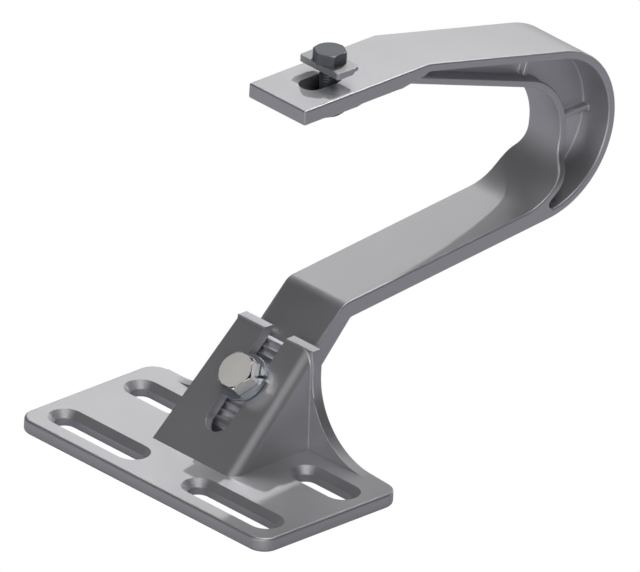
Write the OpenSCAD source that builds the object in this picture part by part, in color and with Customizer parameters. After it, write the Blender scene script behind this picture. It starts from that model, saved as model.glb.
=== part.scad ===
// Height-adjustable roof hook for a tiled solar roof.
// X runs along the long side of the base plate, Y along the hook arm, Z up.
// The origin is the centre of the base plate's underside.

/* [Base plate] */
// Length of the plate along X
plate_w = 150; // [146:1:190]
// Depth of the plate along Y
plate_d = 80; // [78:1:110]
// Thickness of the plate
plate_t = 6.45; // [5.5:0.05:8]
// Radius of the plate's corners
plate_corner_r = 8; // [3:0.5:12]

/* [Screw slots in the plate] */
// Width of the narrow lower part of each slot
slot_w = 9.8; // [6:0.2:12]
// Width and depth of the sloped countersink along each slot
slot_sink = 3; // [1:0.25:3.5]
// Length of the two long slots at their narrow part
long_slot_len = 50; // [30:1:52]
// Distance of the long slots' centres from the middle of the plate
long_slot_x = 40.6; // [38:0.2:42]
// Distance of the long slots from the front edge of the plate
long_slot_edge = 15.1; // [12:0.1:16]
// Length of the two short slots at their narrow part
short_slot_len = 31; // [16:1:33]
// Distance of the short slots' centres from the middle of the plate
short_slot_x = 50.2; // [48:0.2:52]
// Distance of the short slots from the back edge of the plate
short_slot_edge = 20.9; // [18:0.1:24]

/* [Tower] */
// Width of the tower where it stands on the plate
tower_w = 49.2; // [46:0.2:54]
// Inward lean of each side of the tower, in degrees
tower_lean = 2.3; // [0:0.1:3]
// Height of the ear tops above the plate's underside
tower_h = 51.4; // [48:0.2:56]
// Slope of the tower's front face, in degrees
tower_slope = 45; // [43:0.5:47]
// Thickness of the sloped front wall
tower_wall = 5; // [4:0.25:6]
// Rounding of the sloped front corner on the left, at -X
tower_left_r = 0.4; // [0.3:0.1:7]
// Rounding of the sloped front corner on the right, at +X
tower_right_r = 5; // [0.6:0.1:7]
// Depth of each ear's flat top
ear_depth = 4.7; // [3.5:0.1:6]

/* [Height slot] */
// Width of the slot in the sloped wall
adj_slot_w = 12.8; // [10.8:0.2:15]
// Distance up the slope from the tower's foot to the centre of the slot's round end
adj_slot_start = 20.6; // [18:0.2:24]
// Distance up the slope from the tower's foot to the bolt, as set
bolt_height = 40.4; // [36:0.2:44]

/* [Back flange] */
// Thickness of the flange that stands along the plate's back edge
flange_t = 5; // [4:0.25:7]
// Width of the flange at its neck
flange_neck_w = 47.6; // [47:0.2:52]
// Height of the neck above the plate's underside
flange_h = 43.8; // [41:0.2:46]
// Width of the flange's top, level with the ears
flange_top_w = 45; // [44.6:0.1:46]
// Radius of the flare on both sides of the flange
flare_r = 34; // [28:0.5:35]
// Height of the sill under the opening for the leg
sill_h = 20.4; // [12:0.4:21]

/* [Hook arm] */
// Width of the arm, its leg and its outer flange
arm_w = 34.3; // [30:0.5:36]
// Play between the leg and each side wall of the tower
leg_side_gap = 0.3; // [0.1:0.05:0.8]
// Thickness of the middle arm
mid_t = 7.8; // [6:0.1:9]
// Rise of the middle arm, in degrees
mid_rise = 5.5; // [4.5:0.1:7]
// Thickness of the flat top arm
top_t = 6.8; // [5.5:0.1:8]
// Height of the top face of the top arm
top_z = 163.9; // [158:0.1:172]
// Place of the top arm's free end
top_end_y = 28.5; // [24:0.5:34]
// Place of the bend where the top arm starts to fall
top_bend_y = 101; // [95:0.5:106]
// Fall of the outer flange behind that bend, in degrees
outer_fall = 13.2; // [11:0.1:14]
// Fall of the inner flange, in degrees
inner_fall = 18.5; // [17.5:0.1:20]
// Rounding of the outer fold between the leg and the middle arm
fold_r = 7; // [3:0.5:12]
// Rounding of the top arm's two free corners
top_corner_r = 0.5; // [0.3:0.1:4]
// Extra thickness of the pad under the rail slot
pad_t = 0.6; // [0.4:0.1:2]
// Length of that pad along Y
pad_len = 16; // [12:0.5:20]
// Distance from the arm's free end to the middle of the pad
pad_place = 23; // [20:0.5:26]

/* [Hook bend] */
// Furthest reach of the bend from the origin
hook_reach = 211.7; // [200:1:225]
// Outer radius of the bend
hook_outer_r = 39.1; // [37:0.1:41]
// How much smaller the inner radius of the bend is
hook_r_step = 11.1; // [10:0.1:12]
// Depth of the section at the crown of the bend
hook_depth = 24.4; // [21:0.2:26]
// Thickness of the outer flange
outer_flange_t = 3.7; // [2.5:0.1:4.5]
// Thickness of the inner flange
inner_flange_t = 3.4; // [2.5:0.1:4]
// Width of the inner flange
inner_flange_w = 19.4; // [14:0.2:24]
// Thickness of the web between the flanges
web_t = 3; // [2.5:0.1:5]
// Hollow radius of the sweep that narrows the inner flange
narrowing_r = 14; // [10:0.5:18]
// Round radius that blends the sweep into the arm's side
blend_r = 12; // [6:0.5:13]
// Height where the sweep starts
narrowing_z = 98; // [97:0.1:100]
// Rounding at the lower end of each side pocket
pocket_end_r = 2.4; // [1.5:0.1:3]
// Thickness of the cross ribs in the pockets
rib_t = 2.7; // [2:0.1:4]
// Height of the cross ribs above the web
rib_h = 3.3; // [2:0.1:5]

/* [Leg] */
// Steepness of the leg's back face, in degrees
leg_back_slope = 49; // [47.5:0.25:51]
// Thickness of the leg where it meets the middle arm
leg_top_t = 8.3; // [7:0.1:9.5]
// Place of the leg's upright foot face
foot_y = 8.2; // [7:0.1:9.5]
// Height of the leg's underside
foot_z = 9.4; // [9:0.1:11]
// Gap between the leg's teeth and the tower's sloped wall
tooth_gap = 0.2; // [0.05:0.05:0.5]
// Depth of the teeth
tooth_h = 1.5; // [0.8:0.1:1.6]
// Spacing of the teeth
tooth_pitch = 3.55; // [3.45:0.05:3.6]
// Width of the toothed strip
tooth_strip_w = 30; // [16:0.5:30]
// Distance up the slope to the lowest tooth
tooth_start = 22; // [21.5:0.1:22.5]

/* [Height bolt] */
// Thread diameter of the height bolt
bolt_d = 10; // [8:0.5:10]
// Size of the hexagon across its flats
bolt_af = 16; // [14:0.5:18]
// Height of the bolt's head
bolt_head_h = 6.4; // [5:0.1:7.5]
// Length of the bolt's shank
bolt_len = 20; // [17:0.5:22]
// Outer diameter of the spring washer
washer_d = 21.6; // [18:0.2:24]
// Thickness of the spring washer
washer_t = 2.4; // [1.8:0.1:3]
// Width of the slit in the spring washer
washer_slit = 1.3; // [0.6:0.1:2.5]
// Radial play between a screw and the hole around it
screw_gap = 0.05; // [0.02:0.01:0.1]
// Gap between parts that slide face to face
slide_gap = 0.05; // [0.02:0.01:0.2]

/* [Rail bolt] */
// Thread diameter of the rail bolt
rail_bolt_d = 8; // [6:0.5:8]
// Size of its hexagon across the flats
rail_bolt_af = 13; // [11:0.5:14]
// Height of its head
rail_head_h = 5.1; // [4:0.1:6]
// Height of the lock nut under the arm
rail_nut_h = 7.8; // [6:0.1:9]
// Length of shank that shows below the nut
rail_bolt_end = 0.3; // [0.1:0.1:3]
// Width of the clamp plate along X
clamp_w = 24; // [18:0.5:30]
// Depth of the clamp plate along Y
clamp_d = 12.4; // [11:0.2:16]
// Thickness of the clamp plate
clamp_t = 3.1; // [2.2:0.1:4]
// Rounding of the clamp plate's upright corners
clamp_corner_r = 1.5; // [0.5:0.1:3]
// Depth of the step under the clamp plate's far edge
clamp_step_d = 2.5; // [1:0.1:4]
// Height of that step
clamp_step_h = 1.2; // [0.5:0.1:1.8]
// Space for the rail's flange between the arm and the clamp plate
rail_gap = 5.2; // [3:0.1:8]
// Width of the slot in the top arm
rail_slot_w = 11; // [9:0.2:13]
// Distance between the centres of the slot's two round ends
rail_slot_travel = 9.8; // [8:0.2:16]
// Distance from the arm's free end to the rail bolt, as set
rail_bolt_place = 29.7; // [28:0.1:32]

/* [Hidden] */

round_fn = 96;
small_fn = 48;
big = 400;
over = 1;

plate_back = plate_d / 2;

// The slope frame starts at the tower's foot line and runs up the front face.
ear_front_y = plate_back - ear_depth;
foot_line = [ear_front_y - (tower_h - plate_t) / tan(tower_slope), plate_t];
slope_up = [cos(tower_slope), sin(tower_slope)];
slope_out = [-sin(tower_slope), cos(tower_slope)];
slope_len = (tower_h - plate_t) / sin(tower_slope);

hollow_w = arm_w + 2 * leg_side_gap;
crest_depth = tower_wall + tooth_gap;
leg_depth = crest_depth + tooth_h;

// Centre of the outer arc: it touches the falling top line and the furthest reach.
fall_normal = [sin(outer_fall), cos(outer_fall)];
top_bend = [top_bend_y, top_z];
outer_c_y = hook_reach - hook_outer_r;
outer_c_z = (dot(fall_normal, top_bend) - hook_outer_r - fall_normal.x * outer_c_y) / fall_normal.y;
outer_c = [outer_c_y, outer_c_z];

// The middle arm's underside touches the outer arc, and its top touches the inner arc.
hook_inner_r = hook_outer_r - hook_r_step;
rise_normal = [-sin(mid_rise), cos(mid_rise)];
inner_c_y = hook_reach - hook_depth - hook_inner_r;
mid_top_level = dot(rise_normal, outer_c) - hook_outer_r + mid_t;
inner_c_z = (mid_top_level + hook_inner_r - rise_normal.x * inner_c_y) / rise_normal.y;
inner_c = [inner_c_y, inner_c_z];

// Lines of the arm's side view, each as [point, angle].
mid_top_line = [inner_c - hook_inner_r * rise_normal, mid_rise];
mid_low_line = [outer_c - hook_outer_r * rise_normal, mid_rise];
leg_front_line = [foot_line - leg_depth * slope_out, tower_slope];
inner_top = inner_c + hook_inner_r * [sin(inner_fall), cos(inner_fall)];
inner_line = [inner_top, -inner_fall];
fold_out = cross_point(mid_top_line, leg_front_line);
fold_c = cross_point(
    [mid_top_line[0] - fold_r * rise_normal, mid_rise],
    [leg_front_line[0] - fold_r * slope_out, tower_slope]
);
leg_back_seat = fold_out - leg_top_t * slope_out;
fold_in = cross_point(mid_low_line, [leg_back_seat, leg_back_slope]);
leg_back_line = [fold_in, leg_back_slope];

tooth_count = 12;
bolt_seat = on_slope(bolt_height, 0);

rail_bolt_y = top_end_y + rail_bolt_place;
clamp_z = top_z + rail_gap;
rail_head_z = clamp_z + clamp_t;
under_z = top_z - top_t;
pad_z = under_z - pad_t;
pad_y = top_end_y + pad_place;

// Where a pocket's two arcs are joined by its round lower end
pocket_end = arcs_meet(
    outer_c, hook_outer_r - outer_flange_t - pocket_end_r,
    inner_c, hook_inner_r + inner_flange_t + pocket_end_r
);

function dot(a, b) = a.x * b.x + a.y * b.y;
function unit(v) = v / norm(v);
function ray(angle) = [cos(angle), sin(angle)];
function on_slope(up, out) = foot_line + up * slope_up + out * slope_out;

// Point where two lines cross, each line given as [point, angle]
function cross_point(a, b) =
    let (da = ray(a[1]), db = ray(b[1]), gap = b[0] - a[0])
    a[0] + da * (gap.x * db.y - gap.y * db.x) / (da.x * db.y - da.y * db.x);

// Point of a line at a given first or second coordinate
function line_at_y(line, y) = [y, line[0].y + (y - line[0].x) * tan(line[1])];
function line_at_z(line, z) = [line[0].x + (z - line[0].y) / tan(line[1]), z];

// Lower point where two circles meet
function arcs_meet(c1, r1, c2, r2) =
    let (
        d = norm(c1 - c2),
        along = (c1 - c2) / d,
        a = (r2 * r2 - r1 * r1 + d * d) / (2 * d),
        h = sqrt(r2 * r2 - a * a)
    )
    c2 + a * along + h * [along.y, -along.x];

// Lays a Y-Z outline across the part, centred on X
module across(width) {
    rotate([90, 0, 90])
        linear_extrude(width, center = true)
            children();
}

// Sets its children on the sloped face: X stays, Y points up the slope, Z outwards
module at_slope(up, out) {
    place = on_slope(up, out);
    translate([0, place.x, place.y])
        rotate([tower_slope, 0, 0])
            children();
}

module stadium(width, travel) {
    for (side = [-1, 1])
        translate([side * travel / 2, 0])
            circle(d = width, $fn = small_fn);
    square([travel, width], center = true);
}

// A screw slot along X: a straight lower part under a sloped countersink
module screw_slot(length) {
    travel = length - slot_w;
    top_w = slot_w + 2 * slot_sink;
    translate([0, 0, -over])
        linear_extrude(plate_t + 2 * over)
            stadium(slot_w, travel);
    translate([0, 0, plate_t - slot_sink]) {
        for (side = [-1, 1])
            translate([side * travel / 2, 0, 0])
                cylinder(h = slot_sink, d1 = slot_w, d2 = top_w, $fn = small_fn);
        rotate([90, 0, 90])
            linear_extrude(travel, center = true)
                polygon([
                    [-slot_w / 2, 0], [slot_w / 2, 0],
                    [top_w / 2, slot_sink], [-top_w / 2, slot_sink]
                ]);
    }
    translate([0, 0, plate_t])
        linear_extrude(over)
            stadium(top_w, travel);
}

// A flat outline with four equal round corners
module rounded_outline(width, depth, corner_r) {
    inner = [width - 2 * corner_r, depth - 2 * corner_r];
    square([inner.x, depth], center = true);
    square([width, inner.y], center = true);
    for (x = [-1, 1], y = [-1, 1])
        translate([x * inner.x / 2, y * inner.y / 2])
            circle(corner_r, $fn = small_fn);
}

// One side of the tower: a slab along the slope with one rounded front corner
module leaning_half(side, corner_r) {
    half_w = tower_w / 2;
    deep = 80;
    at_slope(0, 0)
        translate([side * half_w, 0, 0])
            rotate([0, 0, side * tower_lean])
                translate([-side * half_w, -deep, 0])
                    rotate([-90, 0, 0])
                        linear_extrude(2 * deep + slope_len)
                            mirror([side > 0 ? 0 : 1, 0]) {
                                translate([half_w - corner_r, corner_r])
                                    circle(corner_r, $fn = small_fn);
                                translate([-deep, 0])
                                    square([deep + half_w - corner_r, deep]);
                                translate([-deep, corner_r])
                                    square([deep + half_w, deep - corner_r]);
                            }
}

module tower_body() {
    intersection() {
        across(big)
            polygon([
                foot_line - [plate_t, plate_t] / 2,
                [ear_front_y, tower_h],
                [plate_back, tower_h],
                [plate_back, plate_t / 2]
            ]);
        leaning_half(-1, tower_left_r);
        leaning_half(1, tower_right_r);
    }
}

module back_flange() {
    neck = flange_neck_w / 2;
    flare_z = plate_t + flare_r;
    translate([0, plate_back, 0])
        rotate([90, 0, 0])
            linear_extrude(flange_t) {
                polygon([
                    [-neck, plate_t / 2],
                    [-neck, flange_h],
                    [-flange_top_w / 2, tower_h],
                    [flange_top_w / 2, tower_h],
                    [neck, flange_h],
                    [neck, plate_t / 2]
                ]);
                difference() {
                    translate([-neck - flare_r, plate_t / 2])
                        square([2 * (neck + flare_r), flare_z - plate_t / 2]);
                    for (side = [-1, 1])
                        translate([side * (neck + flare_r), flare_z])
                            circle(flare_r, $fn = round_fn);
                }
            }
}

// The hollow that takes the leg: open below, and open behind above the sill
module tower_hollow() {
    wall_line = [on_slope(0, -tower_wall), tower_slope];
    across(hollow_w)
        polygon([
            line_at_z(wall_line, -over),
            line_at_y(wall_line, plate_back + over),
            [plate_back + over, sill_h],
            [plate_back - flange_t, sill_h],
            [plate_back - flange_t, -over]
        ]);
}

module height_slot() {
    at_slope(adj_slot_start, -tower_wall - over) {
        cylinder(h = tower_wall + 2 * over, d = adj_slot_w, $fn = small_fn);
        translate([-adj_slot_w / 2, 0, 0])
            cube([adj_slot_w, slope_len + tower_wall, tower_wall + 2 * over]);
    }
}

module base_plate() {
    long_slot_y = long_slot_edge - plate_back;
    short_slot_y = plate_back - short_slot_edge;
    color("silver")
        difference() {
            union() {
                linear_extrude(plate_t)
                    rounded_outline(plate_w, plate_d, plate_corner_r);
                tower_body();
                back_flange();
            }
            tower_hollow();
            height_slot();
            for (side = [-1, 1]) {
                translate([side * long_slot_x, long_slot_y, 0])
                    screw_slot(long_slot_len);
                translate([side * short_slot_x, short_slot_y, 0])
                    screw_slot(short_slot_len);
            }
        }
}

// Side view of the whole hook arm
module arm_outline() {
    under_corner = line_at_z(inner_line, under_z);
    pad_half = pad_len / 2;
    pad_ramp = 3;
    difference() {
        union() {
            polygon([
                [top_end_y, top_z],
                top_bend,
                outer_c + hook_outer_r * fall_normal,
                outer_c,
                outer_c - hook_outer_r * rise_normal,
                fold_in,
                line_at_z(leg_back_line, foot_z),
                [foot_y, foot_z],
                line_at_y(leg_front_line, foot_y),
                fold_out,
                mid_top_line[0],
                inner_c,
                inner_top,
                under_corner,
                [pad_y + pad_half + pad_ramp, under_z],
                [pad_y + pad_half, pad_z],
                [pad_y - pad_half, pad_z],
                [pad_y - pad_half - pad_ramp, under_z],
                [top_end_y, under_z]
            ]);
            bend_disc(0);
        }
        translate(inner_c)
            circle(hook_inner_r, $fn = round_fn);
        outside_fold();
    }
}

// What the rounding takes off the outer fold
module outside_fold() {
    difference() {
        polygon([
            fold_c,
            fold_c + 2 * fold_r * slope_out,
            fold_c + 2 * fold_r * (slope_out + rise_normal),
            fold_c + 2 * fold_r * rise_normal
        ]);
        translate(fold_c)
            circle(fold_r, $fn = round_fn);
    }
}

// The part of the bend's disc that lies behind the start of the inner arc
module bend_disc(inset) {
    intersection() {
        translate(outer_c)
            circle(hook_outer_r - inset, $fn = round_fn);
        translate([inner_top.x, 0])
            square(big);
    }
}

// Inside face of the outer flange, from the top arm round to the middle arm
function flange_inside() =
    let (
        r = hook_outer_r - outer_flange_t,
        tangent = outer_c + r * fall_normal,
        flat_z = top_z - outer_flange_t
    )
    [line_at_z([tangent, -outer_fall], flat_z), tangent];

// Side view of everything inside the outer flange
module inside_outline() {
    face = flange_inside();
    low_z = outer_c.y - hook_inner_r;
    polygon([
        [top_end_y, face[0].y],
        face[0],
        face[1],
        outer_c,
        [outer_c.x, low_z],
        [top_end_y, low_z]
    ]);
    bend_disc(outer_flange_t);
}

// Side view of the pocket between the two flanges
module pocket_outline() {
    face = flange_inside();
    inner_r = hook_inner_r + inner_flange_t;
    inner_tangent = inner_c + inner_r * [sin(inner_fall), cos(inner_fall)];
    reach = 30;
    difference() {
        union() {
            polygon([
                line_at_z([inner_tangent, -inner_fall], face[0].y),
                face[0],
                face[1],
                outer_c,
                inner_tangent
            ]);
            difference() {
                bend_disc(outer_flange_t);
                translate([pocket_end.x - big, pocket_end.y - big])
                    square([big, big]);
            }
        }
        translate(inner_c)
            circle(inner_r, $fn = round_fn);
        polygon([
            pocket_end,
            pocket_end + reach * unit(inner_c - pocket_end),
            pocket_end + [-reach, 0],
            pocket_end + reach * unit(pocket_end - outer_c)
        ]);
    }
    translate(pocket_end)
        circle(pocket_end_r, $fn = small_fn);
}

// Everything under the sloped run-out where the side pockets end at the top arm
module below_run_out() {
    start = line_at_z(inner_line, under_z);
    run_out_x = 41.3;
    run_out_y = 8.5;
    translate([arm_w / 2, start.x, under_z])
        rotate([run_out_y, -run_out_x, 0])
            translate([-big / 2, -big / 2, -big])
                cube([big, big, big]);
}

// Front view of the room beside the inner flange, down an S-shaped sweep
module narrowing_outline() {
    half = inner_flange_w / 2;
    both_r = narrowing_r + blend_r;
    step = arm_w / 2 - half;
    drop = sqrt(2 * both_r * step - step * step);
    hollow_c = [half + narrowing_r, narrowing_z];
    blend_c = [arm_w / 2 - blend_r, narrowing_z - drop];
    meet = hollow_c + (blend_c - hollow_c) * narrowing_r / both_r;
    translate([half, narrowing_z])
        square(big);
    intersection() {
        translate(hollow_c)
            circle(narrowing_r, $fn = round_fn);
        translate([half, meet.y])
            square(big);
    }
    difference() {
        translate([meet.x, blend_c.y])
            square([big, meet.y - blend_c.y]);
        translate(blend_c)
            circle(blend_r, $fn = round_fn);
    }
}

// Room beside the narrow inner flange
module beside_flange() {
    intersection() {
        across(big)
            inside_outline();
        below_run_out();
        translate([0, big, 0])
            rotate([90, 0, 0])
                linear_extrude(big)
                    narrowing_outline();
    }
}

// Cross ribs that stay in a pocket, as side-view strips
module rib_strips() {
    length = 40;
    translate(inner_top)
        rotate(90 - inner_fall)
            translate([0, -rib_t / 2])
                square([length, rib_t]);
    translate([inner_c.x + hook_inner_r, outer_c.y - rib_t])
        square([length, rib_t]);
}

// Room in one side pocket, down to the web, around the cross ribs
module side_pocket() {
    intersection() {
        translate([web_t / 2 + arm_w / 2, 0, 0])
            across(arm_w)
                pocket_outline();
        below_run_out();
        union() {
            translate([web_t / 2 + rib_h, 0, 0])
                cube(big);
            difference() {
                cube(big);
                across(big)
                    rib_strips();
            }
        }
    }
}

module teeth() {
    crest = 0.25;
    root = crest + 2 * tooth_h;
    rotate([0, 90, 0])
        linear_extrude(tooth_strip_w, center = true)
            for (i = [0:tooth_count - 1])
                translate([0, i * tooth_pitch])
                    polygon([
                        [over, -root / 2], [0, -root / 2], [-tooth_h, -crest / 2],
                        [-tooth_h, crest / 2], [0, root / 2], [over, root / 2]
                    ]);
}

module free_end_corners() {
    r = top_corner_r;
    for (side = [-1, 1])
        translate([side * arm_w / 2, top_end_y, 0])
            mirror([side > 0 ? 0 : 1, 0, 0])
                difference() {
                    translate([-r, -over, top_z - 2 * top_t])
                        cube([r + over, r + over, 3 * top_t]);
                    translate([-r, r, 0])
                        cylinder(h = big, r = r, $fn = small_fn);
                }
}

module rail_slot() {
    translate([0, rail_bolt_y - rail_slot_travel / 2, top_z - 2 * top_t])
        rotate([0, 0, 90])
            linear_extrude(3 * top_t)
                stadium(rail_slot_w, rail_slot_travel);
}

module hook_arm() {
    color("silver")
        difference() {
            union() {
                across(arm_w)
                    arm_outline();
                at_slope(tooth_start, -leg_depth)
                    teeth();
            }
            for (turn = [0, 1])
                mirror([turn, 0, 0]) {
                    beside_flange();
                    side_pocket();
                }
            rail_slot();
            free_end_corners();
            at_slope(bolt_height, -3 * leg_depth)
                cylinder(h = 3 * leg_depth, r = bolt_d / 2 + screw_gap, $fn = small_fn);
        }
}

// A hexagon prism with a turned chamfer on its top face, seat at Z = 0
module hex_head(across_flats, height) {
    corner_r = across_flats / sqrt(3);
    chamfer = 0.08 * across_flats;
    intersection() {
        cylinder(h = height, r = corner_r, $fn = 6);
        union() {
            cylinder(h = height - chamfer / 2, r = corner_r + over, $fn = small_fn);
            translate([0, 0, height - chamfer / 2])
                cylinder(
                    h = chamfer / 2,
                    r1 = corner_r,
                    r2 = corner_r - chamfer,
                    $fn = small_fn
                );
        }
    }
}

// A shank that hangs from Z = 0, with a chamfered end
module shank(diameter, length) {
    end = diameter / 10;
    translate([0, 0, end - length])
        cylinder(h = length - end, d = diameter, $fn = small_fn);
    translate([0, 0, -length])
        cylinder(h = end, d1 = diameter - 2 * end, d2 = diameter, $fn = small_fn);
}

module height_bolt() {
    color("gainsboro")
        at_slope(bolt_height, slide_gap + washer_t) {
            hex_head(bolt_af, bolt_head_h);
            shank(bolt_d, bolt_len);
        }
}

module spring_washer() {
    slit_turn = 22;
    color("lightsteelblue")
        at_slope(bolt_height, slide_gap)
            difference() {
                cylinder(h = washer_t, d = washer_d, $fn = round_fn);
                translate([0, 0, -over])
                    cylinder(h = washer_t + 2 * over, r = bolt_d / 2 + 2 * screw_gap, $fn = small_fn);
                rotate([0, 0, slit_turn])
                    translate([0, -washer_slit / 2, -over])
                        cube([washer_d, washer_slit, washer_t + 2 * over]);
            }
}

module rail_bolt() {
    length = rail_head_z - pad_z + slide_gap + rail_nut_h + rail_bolt_end;
    color("dimgray")
        translate([0, rail_bolt_y, rail_head_z]) {
            rotate([0, 0, 30])
                hex_head(rail_bolt_af, rail_head_h);
            shank(rail_bolt_d, length);
        }
}

// Side view of the clamp plate, stepped under its far edge
module clamp_profile() {
    half = clamp_d / 2;
    step_y = half - clamp_step_d;
    polygon([
        [-half - over, 0],
        [step_y - clamp_step_h, 0],
        [step_y, clamp_step_h],
        [half + over, clamp_step_h],
        [half + over, clamp_t],
        [-half - over, clamp_t]
    ]);
}

module rail_clamp() {
    color("lightgray")
        translate([0, rail_bolt_y, clamp_z])
            difference() {
                intersection() {
                    across(clamp_w + 2 * over)
                        clamp_profile();
                    translate([0, 0, -over])
                        linear_extrude(clamp_t + 2 * over)
                            rounded_outline(clamp_w, clamp_d, clamp_corner_r);
                }
                translate([0, 0, -over])
                    cylinder(
                        h = clamp_t + 2 * over,
                        r = rail_bolt_d / 2 + screw_gap,
                        $fn = small_fn
                    );
            }
}

module rail_nut() {
    color("dimgray")
        translate([0, rail_bolt_y, pad_z - slide_gap])
            mirror([0, 0, 1])
                difference() {
                    rotate([0, 0, 30])
                        hex_head(rail_bolt_af, rail_nut_h);
                    translate([0, 0, -over])
                        cylinder(
                            h = rail_nut_h + 2 * over,
                            r = rail_bolt_d / 2 + screw_gap,
                            $fn = small_fn
                        );
                }
}

base_plate();
hook_arm();
height_bolt();
spring_washer();
rail_bolt();
rail_clamp();
rail_nut();
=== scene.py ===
"""Looks, light and camera for the adjustable solar roof hook.

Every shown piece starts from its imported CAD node: the edges are rounded, threads
and the split washer's rise are added, and a procedural metal finish is applied.
All lengths are in metres and all angles in degrees, unless a line says otherwise.
"""

import logging
import math
from dataclasses import dataclass
from enum import Enum
from typing import Union

import bmesh
import bpy
from mathutils import Matrix, Vector


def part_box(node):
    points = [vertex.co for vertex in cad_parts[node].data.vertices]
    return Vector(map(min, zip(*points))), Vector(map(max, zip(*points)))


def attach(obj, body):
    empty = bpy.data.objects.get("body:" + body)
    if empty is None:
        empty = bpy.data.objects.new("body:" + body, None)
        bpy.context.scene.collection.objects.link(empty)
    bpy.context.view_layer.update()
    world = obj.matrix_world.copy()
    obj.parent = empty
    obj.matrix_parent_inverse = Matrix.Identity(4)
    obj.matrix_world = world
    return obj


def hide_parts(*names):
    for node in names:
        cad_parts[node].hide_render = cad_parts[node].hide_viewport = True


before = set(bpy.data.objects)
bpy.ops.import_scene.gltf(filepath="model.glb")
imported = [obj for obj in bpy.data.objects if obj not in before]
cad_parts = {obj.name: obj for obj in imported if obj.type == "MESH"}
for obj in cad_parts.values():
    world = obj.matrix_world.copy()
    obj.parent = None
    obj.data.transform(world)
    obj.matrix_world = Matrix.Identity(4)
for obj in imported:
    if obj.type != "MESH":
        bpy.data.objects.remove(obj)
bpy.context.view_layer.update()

LOG = logging.getLogger("roof_hook")

Number = Union[int, float]

WHITE = (1.0, 1.0, 1.0, 1.0)
SHARP_ANGLE = math.radians(28)
FLAT_ANGLE = math.radians(0.5)
SAME_PLACE = 0.000001
CLOSE = 0.00001
NEAR = 0.0001


# Node building


class Op(Enum):
    """Math operations that the socket wrapper uses."""

    ADD = "ADD"
    SUBTRACT = "SUBTRACT"
    MULTIPLY = "MULTIPLY"


class Sock:
    """An output socket with arithmetic: each operator adds a Math node to its tree."""

    def __init__(self, tree: "Tree", socket: bpy.types.NodeSocket) -> None:
        """Keeps the socket and the tree it belongs to."""
        self.tree = tree
        self.socket = socket

    def _math(self, op: Op, first: "Sock | Number", second: "Sock | Number", clamp: bool = False) -> "Sock":
        """Adds a Math node and gives its result, held between 0 and 1 if clamp is set."""
        settings = {"operation": op.value, "use_clamp": clamp}
        return self.tree.node("ShaderNodeMath", settings, {0: first, 1: second})[0]

    def __add__(self, other: "Sock | Number") -> "Sock":
        """Adds a value to this one."""
        return self._math(Op.ADD, self, other)

    def __radd__(self, other: Number) -> "Sock":
        """Adds this value to a number."""
        return self._math(Op.ADD, other, self)

    def __sub__(self, other: "Sock | Number") -> "Sock":
        """Takes a value from this one."""
        return self._math(Op.SUBTRACT, self, other)

    def __rsub__(self, other: Number) -> "Sock":
        """Takes this value from a number."""
        return self._math(Op.SUBTRACT, other, self)

    def __mul__(self, other: "Sock | Number") -> "Sock":
        """Multiplies this value by another."""
        return self._math(Op.MULTIPLY, self, other)

    def __rmul__(self, other: Number) -> "Sock":
        """Multiplies a number by this value."""
        return self._math(Op.MULTIPLY, other, self)

    def clamped(self) -> "Sock":
        """Gives the value held between 0 and 1."""
        return self._math(Op.ADD, self, 0.0, clamp=True)


class Outputs:
    """A node's outputs, wrapped, by name or number."""

    def __init__(self, tree: "Tree", node: bpy.types.Node) -> None:
        """Keeps the node and the tree it belongs to."""
        self.tree = tree
        self.raw = node

    def __getitem__(self, key: "str | int") -> Sock:
        """Gives one output."""
        return Sock(self.tree, self.raw.outputs[key])


class Tree:
    """A node tree, empty at first, with one method that adds any node."""

    def __init__(self, nodes_owner: "bpy.types.Material | bpy.types.World") -> None:
        """Empties a node tree.

        Args:
            nodes_owner: the material or the world that it belongs to.
        """
        nodes_owner.use_nodes = True
        self.tree = nodes_owner.node_tree
        self.tree.nodes.clear()

    def node(
        self,
        kind: str,
        settings: "dict[str, object] | None" = None,
        inputs: "dict[str | int, object] | None" = None,
    ) -> Outputs:
        """Adds a node.

        Args:
            kind: Blender's type name of the node.
            settings: properties to set on it.
            inputs: what goes into its sockets, a Sock to link or a plain value.

        Returns:
            The node's outputs.
        """
        made = self.tree.nodes.new(kind)
        for key, value in (settings or {}).items():
            setattr(made, key, value)
        for key, value in (inputs or {}).items():
            socket = made.inputs[key]
            if isinstance(value, Sock):
                self.tree.links.new(value.socket, socket)
            else:
                socket.default_value = value
        return Outputs(self, made)


# Finishes


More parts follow.
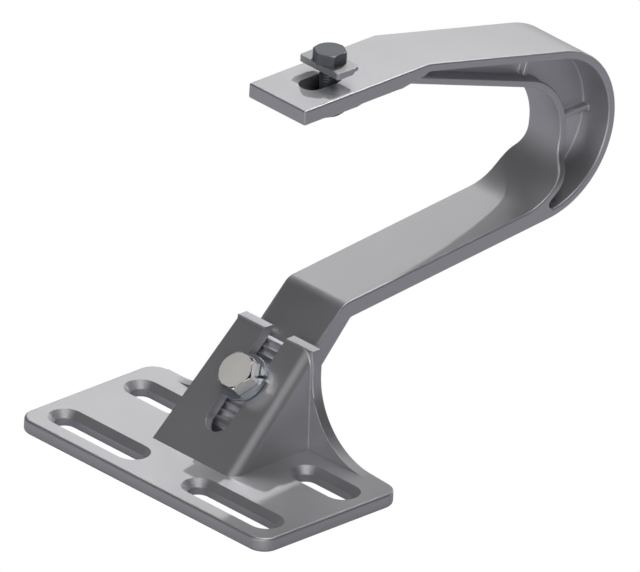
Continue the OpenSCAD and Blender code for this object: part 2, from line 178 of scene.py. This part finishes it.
@dataclass(frozen=True)
class Finish:
    """A metal finish with a slight change of tone and gloss over the surface.

    Args:
        name: name of the material.
        color: base colour, linear.
        roughness: mean roughness.
        metallic: share of metal reflection.
        tone_change: how far the base colour moves up and down, as a share.
        rough_change: how far the roughness moves up and down.
        broad_scale: how many broad patches fit in one metre.
        broad_part: how much the broad patches count in the change.
        grain_size: size of the grain.
        grain_part: how much the grain counts in the change.
        bump: height of the grain.
    """

    name: str
    color: "tuple[float, float, float]"
    roughness: float
    metallic: float = 1.0
    tone_change: float = 0.02
    rough_change: float = 0.02
    broad_scale: float = 45.0
    broad_part: float = 1.2
    grain_size: float = 0.0006
    grain_part: float = 0.8
    bump: float = 0.000004

    def build(self) -> bpy.types.Material:
        """Builds the node tree.

        Returns:
            The Blender material.
        """
        material = bpy.data.materials.new(self.name)
        tree = Tree(material)
        place = tree.node("ShaderNodeTexCoord")["Object"]
        broad = tree.node(
            "ShaderNodeTexNoise",
            inputs={"Vector": place, "Scale": self.broad_scale, "Detail": 3.0},
        )[0]
        grain = tree.node(
            "ShaderNodeTexNoise",
            inputs={"Vector": place, "Scale": 1.0 / self.grain_size, "Detail": 2.0},
        )[0]
        shift = (broad - 0.5) * self.broad_part + (grain - 0.5) * self.grain_part
        color = tree.node(
            "ShaderNodeVectorMath",
            {"operation": "SCALE"},
            {0: self.color, "Scale": 1.0 + shift * (2 * self.tone_change)},
        )["Vector"]
        rough = self.roughness + shift * (2 * self.rough_change)
        normal = tree.node(
            "ShaderNodeBump",
            inputs={"Strength": 1.0, "Distance": self.bump, "Height": grain},
        )["Normal"]
        shader = tree.node(
            "ShaderNodeBsdfPrincipled",
            inputs={
                "Base Color": color,
                "Metallic": self.metallic,
                "Roughness": rough.clamped(),
                "Normal": normal,
            },
        )["BSDF"]
        tree.node("ShaderNodeOutputMaterial", inputs={"Surface": shader})
        return material


CAST_BASE = Finish("cast_aluminium_base", (0.60, 0.60, 0.62), 0.5, bump=0.00001)
CAST_ARM = Finish("cast_aluminium_arm", (0.60, 0.60, 0.62), 0.5, bump=0.00001)
# The teeth's lighter colour is painted light: it stands in for light that their shaded recess does not get.
TEETH_PAINTED_LIGHT = Finish("teeth_painted_light", (0.86, 0.86, 0.90), 0.42)
STAINLESS = Finish("stainless_steel", (0.66, 0.64, 0.61), 0.18, bump=0.000001)
ZINC = Finish("zinc_plated_steel", (0.50, 0.54, 0.60), 0.5)
DARK_STEEL = Finish("dark_steel", (0.20, 0.21, 0.23), 0.45)
CLAMP_STEEL = Finish("clamp_steel", (0.58, 0.58, 0.60), 0.42)


# Pieces


@dataclass(frozen=True)
class Axis:
    """The line a turned part lies on, with its own directions.

    Args:
        point: a point on the line.
        slope: turn of the line about world X, from straight up.
    """

    point: "tuple[float, float, float]"
    slope: float = 0.0

    def frame(self) -> Matrix:
        """Gives the matrix from the line's own directions, with Z along it, to the world."""
        return Matrix.Translation(self.point) @ Matrix.Rotation(math.radians(self.slope), 4, "X")

    def place(self, reach: float, angle: float, up: float) -> Vector:
        """Gives the place at a reach from the line, an angle round it in radians, and so far up it."""
        return self.frame() @ Vector((reach * math.cos(angle), reach * math.sin(angle), up))


@dataclass
class Piece:
    """One shown piece, made from its CAD node with rounded edges.

    Args:
        node: the CAD node's name.
        body: the CAD body it moves with.
        slot: the record's material slot; not used.
        finish: its finish.
        edge: width of the rounding along its main edges.
        fine: width of the rounding along its crisp edges.
        weld: corners closer than this are joined first.
        steps: segments in the rounding.
    """

    node: str
    body: str
    slot: str
    finish: Finish
    edge: float = 0.0002
    fine: float = 0.0002
    weld: float = 0.00001
    steps: int = 3

    def build(self) -> bpy.types.Object:
        """Builds the shown piece and puts it in the place of its CAD node.

        Returns:
            The finished Blender object.
        """
        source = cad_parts[self.node]
        mesh = source.data.copy()
        mesh.transform(source.matrix_world)
        mesh.materials.clear()
        mesh.materials.append(self.finish.build())
        made = bpy.data.objects.new(f"{self.node}_shown", mesh)
        bpy.context.scene.collection.objects.link(made)
        work = bmesh.new()
        work.from_mesh(mesh)
        self.clean(work)
        self.shape(work)
        self.mark_edges(work)
        for face in work.faces:
            face.smooth = True
        work.to_mesh(mesh)
        work.free()
        self.dress(mesh)
        self.round_edges(made)
        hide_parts(self.node)
        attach(made, self.body)
        LOG.info("%s: %d faces", made.name, len(mesh.polygons))
        return made

    def clean(self, work: bmesh.types.BMesh) -> None:
        """Joins doubled corners and merges flat groups of triangles.

        Args:
            work: the mesh to change.
        """
        bmesh.ops.remove_doubles(work, verts=work.verts, dist=SAME_PLACE)
        self.drop_flaps(work)
        bmesh.ops.dissolve_limit(
            work,
            angle_limit=FLAT_ANGLE,
            verts=work.verts,
            edges=work.edges,
            use_dissolve_boundaries=False,
        )
        self.square_up(work)
        bmesh.ops.dissolve_degenerate(work, dist=self.weld, edges=work.edges)

    def drop_flaps(self, work: bmesh.types.BMesh) -> None:
        """Takes out flaps that have no thickness; none here."""

    def square_up(self, work: bmesh.types.BMesh) -> None:
        """Moves corners that are too close together for a rounding; none here."""

    def shape(self, work: bmesh.types.BMesh) -> None:
        """Adds to the plain CAD shape; nothing here."""

    def dress(self, mesh: bpy.types.Mesh) -> None:
        """Gives some faces another finish; nothing here."""

    def share(self, start: Vector, end: Vector) -> float:
        """Tells how much of the main rounding, from 0 to 1, a sharp edge gets: all of it here."""
        return 1.0

    def mark_edges(self, work: bmesh.types.BMesh) -> None:
        """Gives each sharp edge its share of the main rounding, or keeps it sharp.

        Args:
            work: the mesh to change.
        """
        layer = work.edges.layers.float.new("bevel_weight_edge")
        for edge in work.edges:
            if len(edge.link_faces) == 2 and edge.calc_face_angle() > SHARP_ANGLE:
                edge[layer] = self.share(edge.verts[0].co, edge.verts[1].co)
                edge.smooth = edge[layer] > 0

    def round_edges(self, made: bpy.types.Object) -> None:
        """Adds a rounding along the marked edges and keeps the faces between them evenly shaded.

        Args:
            made: the object to change.
        """
        bevel = made.modifiers.new("edges", "BEVEL")
        bevel.width = self.edge
        bevel.segments = self.steps
        bevel.limit_method = "WEIGHT"
        bevel.loop_slide = False
        bevel.use_clamp_overlap = False
        normals = made.modifiers.new("normals", "WEIGHTED_NORMAL")
        normals.weight = 100
        normals.keep_sharp = True


@dataclass
class BasePlate(Piece):
    """The base casting: its rim is rounded, its slots stay sharp.

    Args:
        plate_corner: radius of the plate's corners.
        plate_top: height of the plate's top face.
        flare_end: where the flange's two flared ends run into the rim, from the middle.
        flange_front: front of the flange that stands behind the tower.
        flange_side: half the tower's width at that flange.
        foot_share: share of the rounding where the tower meets the flange.
    """

    plate_corner: float = 0.008
    plate_top: float = 0.00645
    flare_end: "tuple[float, float]" = (0.055, 0.066)
    flange_front: float = 0.035
    flange_side: float = 0.0265
    foot_share: float = 0.6

    def __post_init__(self) -> None:
        """Keeps the casting's far corner."""
        self.corner = Vector(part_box(self.node)[1])

    def inset(self, point: Vector) -> float:
        """Tells how far a point lies inside the plate's rim.

        Args:
            point: the point.

        Returns:
            Its distance from the rim.
        """
        corner_x = abs(point.x) - (self.corner.x - self.plate_corner)
        corner_y = abs(point.y) - (self.corner.y - self.plate_corner)
        if corner_x > 0 and corner_y > 0:
            return self.plate_corner - math.hypot(corner_x, corner_y)
        return min(self.corner.x - abs(point.x), self.corner.y - abs(point.y))

    def at_foot(self, point: Vector) -> bool:
        """Tells whether a point lies on the line where the tower meets the flange."""
        return abs(point.y - self.flange_front) < NEAR and abs(point.x) < self.flange_side

    def share(self, start: Vector, end: Vector) -> float:
        """Tells how much rounding an edge of the rim, a slot or the tower gets.

        Args:
            start: one end of the edge.
            end: its other end.

        Returns:
            A number from 0 to 1.
        """
        crisp = self.fine / self.edge
        if max(start.z, end.z) > self.plate_top + NEAR:
            return self.foot_share if self.at_foot(start) and self.at_foot(end) else crisp
        if self.inset(start) > NEAR or self.inset(end) > NEAR:
            return 0.0
        middle = (start + end) / 2
        at_flare = middle.y > 0 and self.flare_end[0] < abs(middle.x) < self.flare_end[1]
        return crisp if at_flare else 1.0


@dataclass
class HookArm(Piece):
    """The arm casting: rounded all round, with crisp cut teeth and a crisp slot.

    Args:
        flap_height: height of the flat flap in the CAD node.
        end_zone: the free end's corners lie past this width, before this depth and above this height.
        side: half the arm's width.
        end: where the arm's free end stands.
        teeth_side: half the width of the strip of teeth.
        teeth_run: where the strip starts and ends along the leg, from the bolt.
        teeth_root: how deep the teeth reach into the leg.
        crisp_zones: boxes, from corner to corner, round the edges that stay crisp.
    """

    flap_height: float = 0.08819
    end_zone: "tuple[float, float, float]" = (0.0165, 0.0292, 0.15)
    side: float = 0.01715
    end: float = 0.0285
    teeth_side: float = 0.01505
    teeth_run: "tuple[float, float]" = (-0.0190, 0.0245)
    teeth_root: float = -0.0072
    crisp_zones: "tuple[tuple[tuple[float, float, float], tuple[float, float, float]], ...]" = (
        ((-0.0152, -0.010, 0.016), (0.0152, 0.045, 0.062)),
        ((-0.0060, 0.040, 0.150), (0.0060, 0.075, 0.165)),
    )

    def drop_flaps(self, work: bmesh.types.BMesh) -> None:
        """Takes out the flat flap where the inner flange starts to narrow.

        Args:
            work: the mesh to change.
        """
        flaps = [
            face
            for face in work.faces
            if all(abs(vert.co.z - self.flap_height) < CLOSE for vert in face.verts)
        ]
        bmesh.ops.delete(work, geom=flaps, context="FACES")

    def square_up(self, work: bmesh.types.BMesh) -> None:
        """Squares the free end's two corners, which are too small to be rounded twice.

        Args:
            work: the mesh to change.
        """
        past, before, above = self.end_zone
        corners = [
            vert
            for vert in work.verts
            if abs(vert.co.x) > past and vert.co.y < before and vert.co.z > above
        ]
        for corner in corners:
            corner.co.x = math.copysign(self.side, corner.co.x)
            corner.co.y = self.end
        bmesh.ops.remove_doubles(work, verts=corners, dist=CLOSE)

    def share(self, start: Vector, end: Vector) -> float:
        """Tells how much rounding an edge of the arm, its teeth or its slot gets.

        Args:
            start: one end of the edge.
            end: its other end.

        Returns:
            A number from 0 to 1.
        """
        for low, high in self.crisp_zones:
            if all(low[i] <= point[i] <= high[i] for point in (start, end) for i in range(3)):
                return self.fine / self.edge
        return 1.0

    def dress(self, mesh: bpy.types.Mesh) -> None:
        """Gives the teeth a lighter tone: painted light that lifts the shade in the recess where they sit.

        Args:
            mesh: the mesh to change.
        """
        # Painted light: the teeth's faces get the lighter material in place of the light their recess
        # misses.
        mesh.materials.append(TEETH_PAINTED_LIGHT.build())
        back = BOLT_AXIS.frame().inverted()
        first, last = self.teeth_run
        for face in mesh.polygons:
            place = back @ face.center
            on_strip = abs(place.x) < self.teeth_side and first < place.y < last
            if on_strip and self.teeth_root < place.z < 0:
                face.material_index = 1


@dataclass
class Bolt(Piece):
    """A hexagon bolt whose plain shank gets a rolled thread.

    Args:
        axis: the line it lies on.
        seat: where its shank starts along that line.
        radius: outside radius of the thread.
        pitch: rise of the thread in one turn.
        length: length of the shank.
        depth_share: depth of the thread, as a share of the pitch.
        flank: steepness of the thread's flanks.
        crest: width of the thread's flat crest, as a share of half a turn.
        play: how far the core stands inside the thread's root.
        turn_rows: rows of corners in one turn of the thread.
        around: corners in one row.
    """

    axis: Axis = Axis((0.0, 0.0, 0.0))
    seat: float = 0.0
    radius: float = 0.004
    pitch: float = 0.00125
    length: float = 0.02
    depth_share: float = 0.6
    flank: float = 1.25
    crest: float = 0.12
    play: float = 0.00005
    turn_rows: int = 8
    around: int = 40

    def __post_init__(self) -> None:
        """Works out the thread's depth."""
        self.depth = self.depth_share * self.pitch

    def on_shank(self, place: Vector) -> bool:
        """Tells whether a point, in the line's own directions, lies on the shank."""
        within = math.hypot(place.x, place.y) < self.radius + self.play
        return within and place.z < self.seat + CLOSE

    def share(self, start: Vector, end: Vector) -> float:
        """Rounds the head's edges and leaves the shank's alone."""
        back = self.axis.frame().inverted()
        return 0.0 if self.on_shank(back @ start) and self.on_shank(back @ end) else 1.0

    def shape(self, work: bmesh.types.BMesh) -> None:
        """Thins the CAD shank to a core and winds the thread round it."""
        self.thin_shank(work)
        self.wind_thread(work)

    def thin_shank(self, work: bmesh.types.BMesh) -> None:
        """Thins the CAD shank to a core that the thread hides.

        Args:
            work: the mesh to change.
        """
        out = self.axis.frame()
        back = out.inverted()
        core = self.radius - self.depth - self.play
        for vert in work.verts:
            place = back @ vert.co
            wide = math.hypot(place.x, place.y)
            if self.on_shank(place) and wide > core:
                place.x, place.y = place.x * core / wide, place.y * core / wide
                vert.co = out @ place

    def reach(self, down: float, turn: float) -> float:
        """Tells how far the thread reaches out at a place, with both ends tapered.

        Args:
            down: how far the place lies from the seat.
            turn: its direction round the shank, as a share of a turn.

        Returns:
            The distance from the line.
        """
        wave = abs(2 * ((down / self.pitch + turn) % 1.0) - 1)
        groove = self.depth * min(1.0, max(0.0, self.flank * wave - self.crest))
        root = self.radius - self.depth
        return min(self.radius - groove, root + self.length - down, root + down)

    def wind_thread(self, work: bmesh.types.BMesh) -> None:
        """Adds the closed sleeve that carries the thread.

        Args:
            work: the mesh to change.
        """
        rows = int(self.length / self.pitch * self.turn_rows)
        rings = []
        for row in range(rows + 1):
            down = self.length * row / rows
            ring = []
            for step in range(self.around):
                turn = step / self.around
                place = self.axis.place(self.reach(down, turn), 2 * math.pi * turn, self.seat - down)
                ring.append(work.verts.new(place))
            rings.append(ring)
        for upper, lower in zip(rings, rings[1:]):
            for step in range(self.around):
                after = (step + 1) % self.around
                work.faces.new((upper[step], lower[step], lower[after], upper[after]))
        work.faces.new(rings[0])
        work.faces.new(tuple(reversed(rings[-1])))


@dataclass
class SplitWasher(Piece):
    """A spring washer: a square section that rises a little from one end to the other.

    Args:
        axis: the line it lies on.
        inner: inside radius.
        outer: outside radius.
        low: where it starts along the line.
        high: where it ends along the line.
        rise: how far one end stands above the other.
        slit: direction of the slit.
        slit_width: width of the slit.
        sections: parts in the ring.
    """

    axis: Axis = Axis((0.0, 0.0, 0.0))
    inner: float = 0.0051
    outer: float = 0.0108
    low: float = 0.00005
    high: float = 0.00245
    rise: float = 0.0005
    slit: float = 22.0
    slit_width: float = 0.0013
    sections: int = 72

    def shape(self, work: bmesh.types.BMesh) -> None:
        """Replaces the flat ring by a ring that rises round the axis.

        Args:
            work: the mesh to change.
        """
        bmesh.ops.delete(work, geom=list(work.verts), context="VERTS")
        half_slit = self.slit_width / (self.inner + self.outer)
        first = math.radians(self.slit) + half_slit
        sweep = 2 * math.pi - 2 * half_slit
        rings = []
        for step in range(self.sections + 1):
            part = step / self.sections
            bottom = self.low + self.rise * part
            top = self.high - self.rise + self.rise * part
            corners = ((self.inner, bottom), (self.outer, bottom), (self.outer, top), (self.inner, top))
            places = [self.axis.place(reach, first + sweep * part, up) for reach, up in corners]
            rings.append([work.verts.new(place) for place in places])
        for near, far in zip(rings, rings[1:]):
            for side in range(4):
                after = (side + 1) % 4
                work.faces.new((near[side], near[after], far[after], far[side]))
        work.faces.new(tuple(reversed(rings[0])))
        work.faces.new(rings[-1])
        bmesh.ops.recalc_face_normals(work, faces=work.faces)


# Studio


def direction(around: float, above: float) -> Vector:
    """Gives the unit vector that points so far around, from +X towards +Y, and so far above."""
    turn, lift = math.radians(around), math.radians(above)
    return Vector((math.cos(lift) * math.cos(turn), math.cos(lift) * math.sin(turn), math.sin(lift)))


@dataclass(frozen=True)
class Shot:
    """The photograph's camera: parallel view from above the front right.

    Args:
        azimuth: the view's turn round the object, from straight in front.
        elevation: the view's height over the horizon.
        roll: turn about the line of sight.
        width: width of the picture at the object.
        centre: place of the picture's centre from the origin, right and up in the picture.
        distance: distance of the camera.
        clip: nearest and furthest distance that the camera shows.
    """

    azimuth: float = 45.02
    elevation: float = 26.62
    roll: float = 3.2
    width: float = 0.26778
    centre: "tuple[float, float]" = (0.04675, 0.07531)
    distance: float = 1.5
    clip: "tuple[float, float]" = (0.01, 10.0)

    def build(self) -> bpy.types.Object:
        """Adds the camera and makes it the scene's camera.

        Returns:
            The camera.
        """
        back = direction(self.azimuth - 90.0, self.elevation)
        level = direction(self.azimuth, 0.0)
        above = back.cross(level)
        roll = math.radians(self.roll)
        right = math.cos(roll) * level + math.sin(roll) * above
        up = back.cross(right)
        data = bpy.data.cameras.new("camera")
        data.type = "ORTHO"
        data.ortho_scale = self.width
        data.clip_start, data.clip_end = self.clip
        made = bpy.data.objects.new("camera", data)
        bpy.context.scene.collection.objects.link(made)
        turn = Matrix((right, up, back)).transposed()
        place = right * self.centre[0] + up * self.centre[1] + back * self.distance
        made.matrix_world = Matrix.Translation(place) @ turn.to_4x4()
        bpy.context.scene.camera = made
        return made


@dataclass(frozen=True)
class Lamp:
    """A far studio lamp.

    Args:
        name: its name.
        around: its direction round the object, from +X towards +Y.
        above: its height over the horizon.
        strength: its strength.
        spread: its apparent width; a wide lamp gives a soft light.
    """

    name: str
    around: float
    above: float
    strength: float
    spread: float = 28.0

    def build(self) -> bpy.types.Object:
        """Adds the lamp.

        Returns:
            The lamp, turned towards the object.
        """
        data = bpy.data.lights.new(self.name, "SUN")
        data.energy = self.strength
        data.angle = math.radians(self.spread)
        made = bpy.data.objects.new(self.name, data)
        bpy.context.scene.collection.objects.link(made)
        toward = direction(self.around, self.above)
        made.rotation_euler = toward.to_track_quat("Z", "Y").to_euler()
        return made


@dataclass(frozen=True)
class Studio:
    """Floor, surroundings and lamps.

    Args:
        floor_color: the floor's colour, linear.
        floor_glow: how bright the floor is by itself, as light from below.
        floor_size: side of the floor.
        floor_drop: gap between the floor and the object.
        sky: strength of the even light from all round.
        lamps: the lamps.
    """

    floor_color: "tuple[float, float, float]" = (0.50, 0.50, 0.54)
    floor_glow: float = 0.08
    floor_size: float = 6.0
    floor_drop: float = 0.0002
    sky: float = 0.02
    lamps: "tuple[Lamp, ...]" = (
        Lamp("main_light", 114.0, 43.6, 0.68, spread=1.2),
        Lamp("top", 0.0, 82.0, 0.90),
        Lamp("front_low", 270.0, 8.0, 0.40),
        Lamp("right_low", 315.0, 8.0, 0.68),
        Lamp("back_low", 90.0, 8.0, 0.35),
        Lamp("left_back_low", 135.0, 8.0, 0.14),
        Lamp("left", 180.0, 30.0, 0.09),
        Lamp("left_back_high", 120.0, 55.0, 0.44),
        Lamp("bolt_glint", 215.3, 39.2, 0.013, spread=7.5),
    )

    def build(self) -> None:
        """Adds the floor, the surroundings and the lamps."""
        self.floor()
        self.surroundings()
        for lamp in self.lamps:
            lamp.build()

    def floor(self) -> None:
        """Adds a plain pale floor that the camera sees as plain white."""
        bpy.ops.mesh.primitive_plane_add(size=self.floor_size, location=(0.0, 0.0, -self.floor_drop))
        floor = bpy.context.object
        floor.name = "floor"
        material = bpy.data.materials.new("floor")
        tree = Tree(material)
        color = (*self.floor_color, 1.0)
        pale = tree.node("ShaderNodeBsdfDiffuse", inputs={"Color": color, "Roughness": 0.0})["BSDF"]
        glow = tree.node("ShaderNodeEmission", inputs={"Color": color, "Strength": self.floor_glow})[0]
        both = tree.node("ShaderNodeAddShader", inputs={0: pale, 1: glow})[0]
        white = tree.node("ShaderNodeEmission", inputs={"Color": WHITE, "Strength": 1.0})[0]
        seen = tree.node("ShaderNodeLightPath")["Is Camera Ray"]
        mix = tree.node("ShaderNodeMixShader", inputs={0: seen, 1: both, 2: white})[0]
        tree.node("ShaderNodeOutputMaterial", inputs={"Surface": mix})
        floor.data.materials.append(material)

    def surroundings(self) -> None:
        """Adds dim even surroundings that the camera sees as plain white."""
        world = bpy.data.worlds.new("studio")
        bpy.context.scene.world = world
        tree = Tree(world)
        dim = tree.node("ShaderNodeBackground", inputs={"Color": WHITE, "Strength": self.sky})[0]
        plain = tree.node("ShaderNodeBackground", inputs={"Color": WHITE, "Strength": 1.0})[0]
        seen = tree.node("ShaderNodeLightPath")["Is Camera Ray"]
        mix = tree.node("ShaderNodeMixShader", inputs={0: seen, 1: dim, 2: plain})[0]
        tree.node("ShaderNodeOutputWorld", inputs={"Surface": mix})


BOLT_AXIS = Axis((0.0, 0.018917, 0.035017), 45.0)
RAIL_AXIS = Axis((0.0, 0.0582, 0.0))

PIECES: "tuple[Piece, ...]" = (
    BasePlate("base_plate", "base", "cast_base", CAST_BASE, edge=0.0012, weld=0.00013),
    HookArm("hook_arm", "hook", "cast_arm", CAST_ARM, edge=0.0008, fine=0.0001, weld=0.00025),
    Bolt(
        "height_bolt", "hook", "stainless", STAINLESS,
        axis=BOLT_AXIS, seat=0.00245, radius=0.005, pitch=0.0015, length=0.02,
    ),
    SplitWasher("spring_washer", "hook", "zinc", ZINC, axis=BOLT_AXIS),
    Bolt(
        "rail_bolt", "rail", "dark_steel", DARK_STEEL,
        axis=RAIL_AXIS, seat=0.1722, radius=0.004, pitch=0.00125, length=0.02385,
    ),
    Piece("rail_clamp", "rail", "clamp_steel", CLAMP_STEEL, edge=0.0003),
    Piece("rail_nut", "rail", "dark_steel", DARK_STEEL),
)


def main() -> None:
    """Builds the whole scene."""
    logging.basicConfig(level=logging.INFO)
    for piece in PIECES:
        piece.build()
    Studio().build()
    Shot().build()
    bpy.context.scene.view_settings.view_transform = "Standard"


if __name__ == "__main__":
    main()
